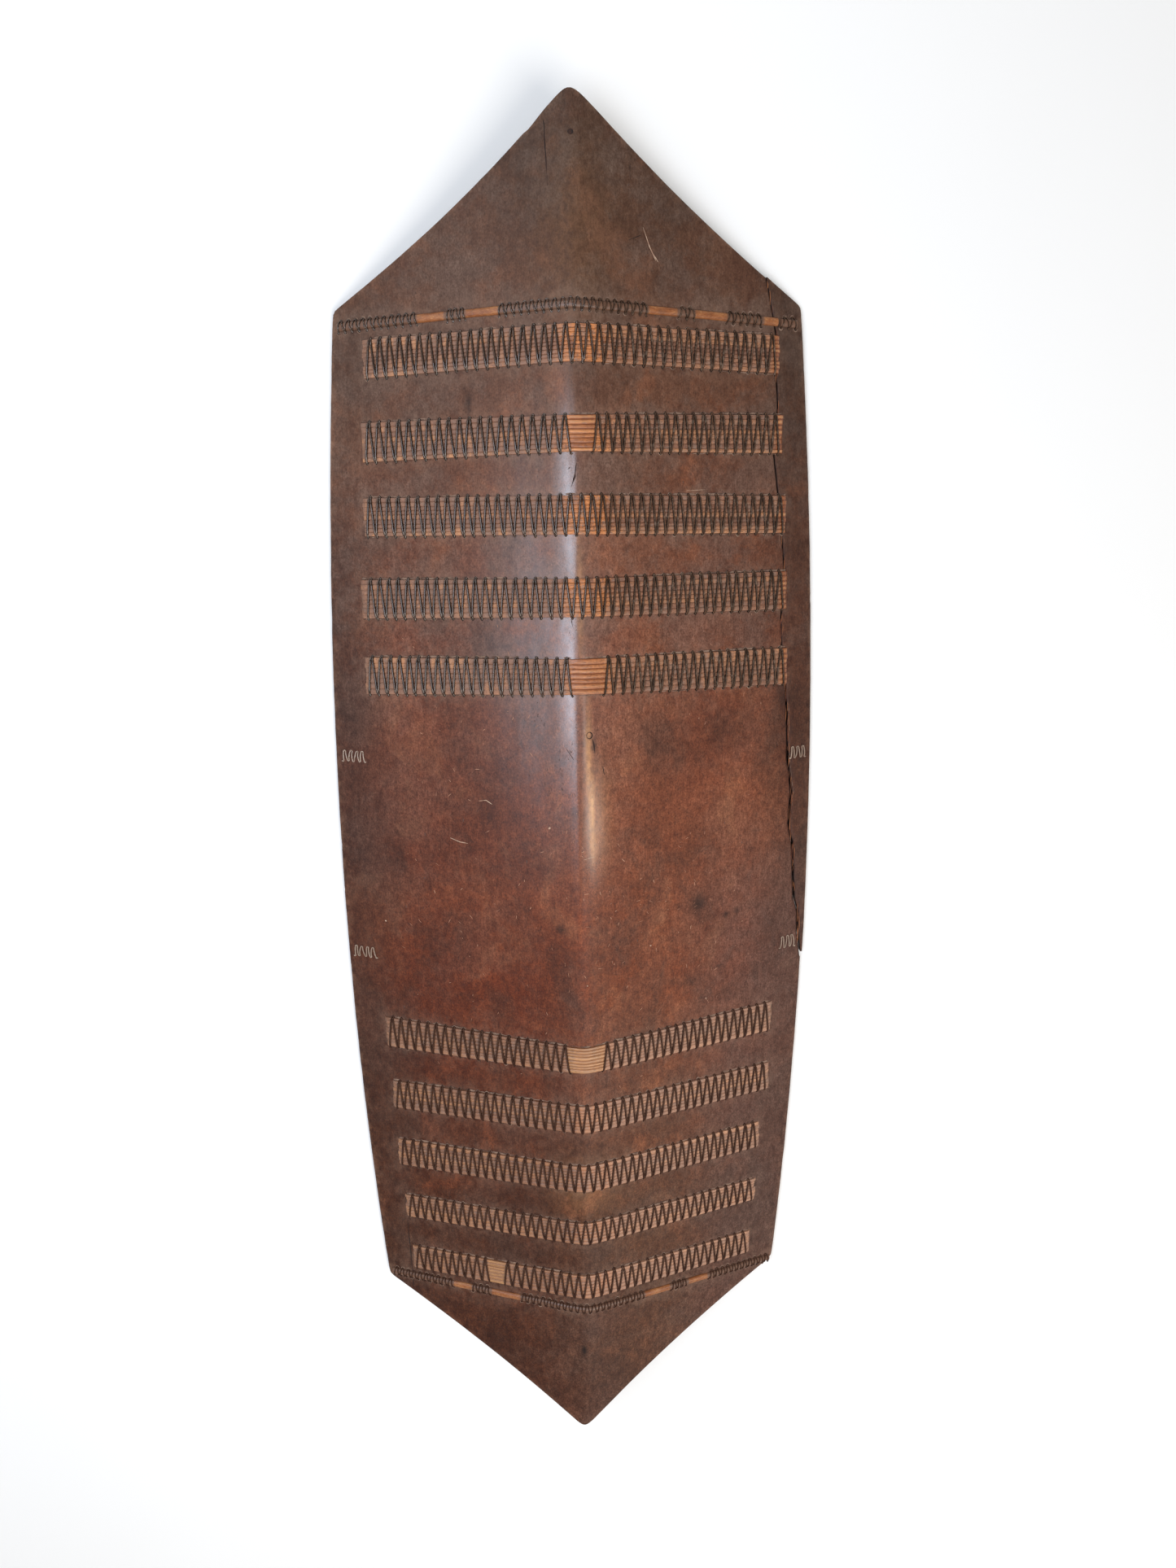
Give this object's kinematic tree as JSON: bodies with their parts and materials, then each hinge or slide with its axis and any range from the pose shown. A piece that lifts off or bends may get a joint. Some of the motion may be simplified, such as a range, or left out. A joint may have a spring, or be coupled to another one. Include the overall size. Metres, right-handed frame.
{
  "type": "plank shield",
  "caption": "Long plank shield of dark carved wood, pointed at both ends and folded along the middle, with a grip behind and rattan bands lashed across its face.",
  "frame": {"origin": "under the middle of the shield, on the surface that its side rims rest on", "axes": "+X across the shield towards the side with the split-off strip, +Y along it towards the point with the nail hole, +Z out of its face"},
  "size_m": [0.4414, 1.2158, 0.0889],
  "materials": {
    "dark_wood": "hand-polished dark red-brown wood with dust in its hollows",
    "rattan_splints": "dusty brown split rattan, matt",
    "split_cane": "orange-brown cane, half gloss",
    "dark_cord": "blackened twisted plant cord",
    "dusty_cord": "worn plant cord, grey with dust"
  },
  "bodies": {
    "root": {"board": "dark_wood", "split_off_edge": "dark_wood", "rattan_band_1": "rattan_splints", "rattan_band_2": "rattan_splints", "rattan_band_3": "rattan_splints", "rattan_band_4": "rattan_splints", "rattan_band_5": "rattan_splints", "rattan_band_6": "rattan_splints", "rattan_band_7": "rattan_splints", "rattan_band_8": "rattan_splints", "rattan_band_9": "rattan_splints", "rattan_band_10": "rattan_splints", "lashing_1": "dark_cord", "lashing_2_left": "dark_cord", "lashing_2_right": "dark_cord", "lashing_3": "dark_cord", "lashing_4": "dark_cord", "lashing_5_left": "dark_cord", "lashing_5_right": "dark_cord", "lashing_6_left": "dark_cord", "lashing_6_right": "dark_cord", "lashing_7": "dark_cord", "lashing_8": "dark_cord", "lashing_9": "dark_cord", "lashing_10_left": "dark_cord", "lashing_10_right": "dark_cord", "upper_cane": "split_cane", "upper_cane_end": "split_cane", "upper_cane_end_lashing": "dark_cord", "upper_cane_lashing_1": "dark_cord", "upper_cane_lashing_2": "dark_cord", "upper_cane_lashing_3": "dark_cord", "upper_cane_lashing_4": "dark_cord", "upper_cane_lashing_5": "dark_cord", "lower_cane": "split_cane", "lower_cane_lashing_1": "dark_cord", "lower_cane_lashing_2": "dark_cord", "lower_cane_lashing_3": "dark_cord", "lower_cane_lashing_4": "dark_cord", "lower_cane_lashing_5": "dark_cord", "edge_stitches_upper_left": "dusty_cord", "edge_stitches_upper_right": "dusty_cord", "edge_stitches_lower_left": "dusty_cord", "edge_stitches_lower_right": "dusty_cord"}
  },
  "joints": []
}
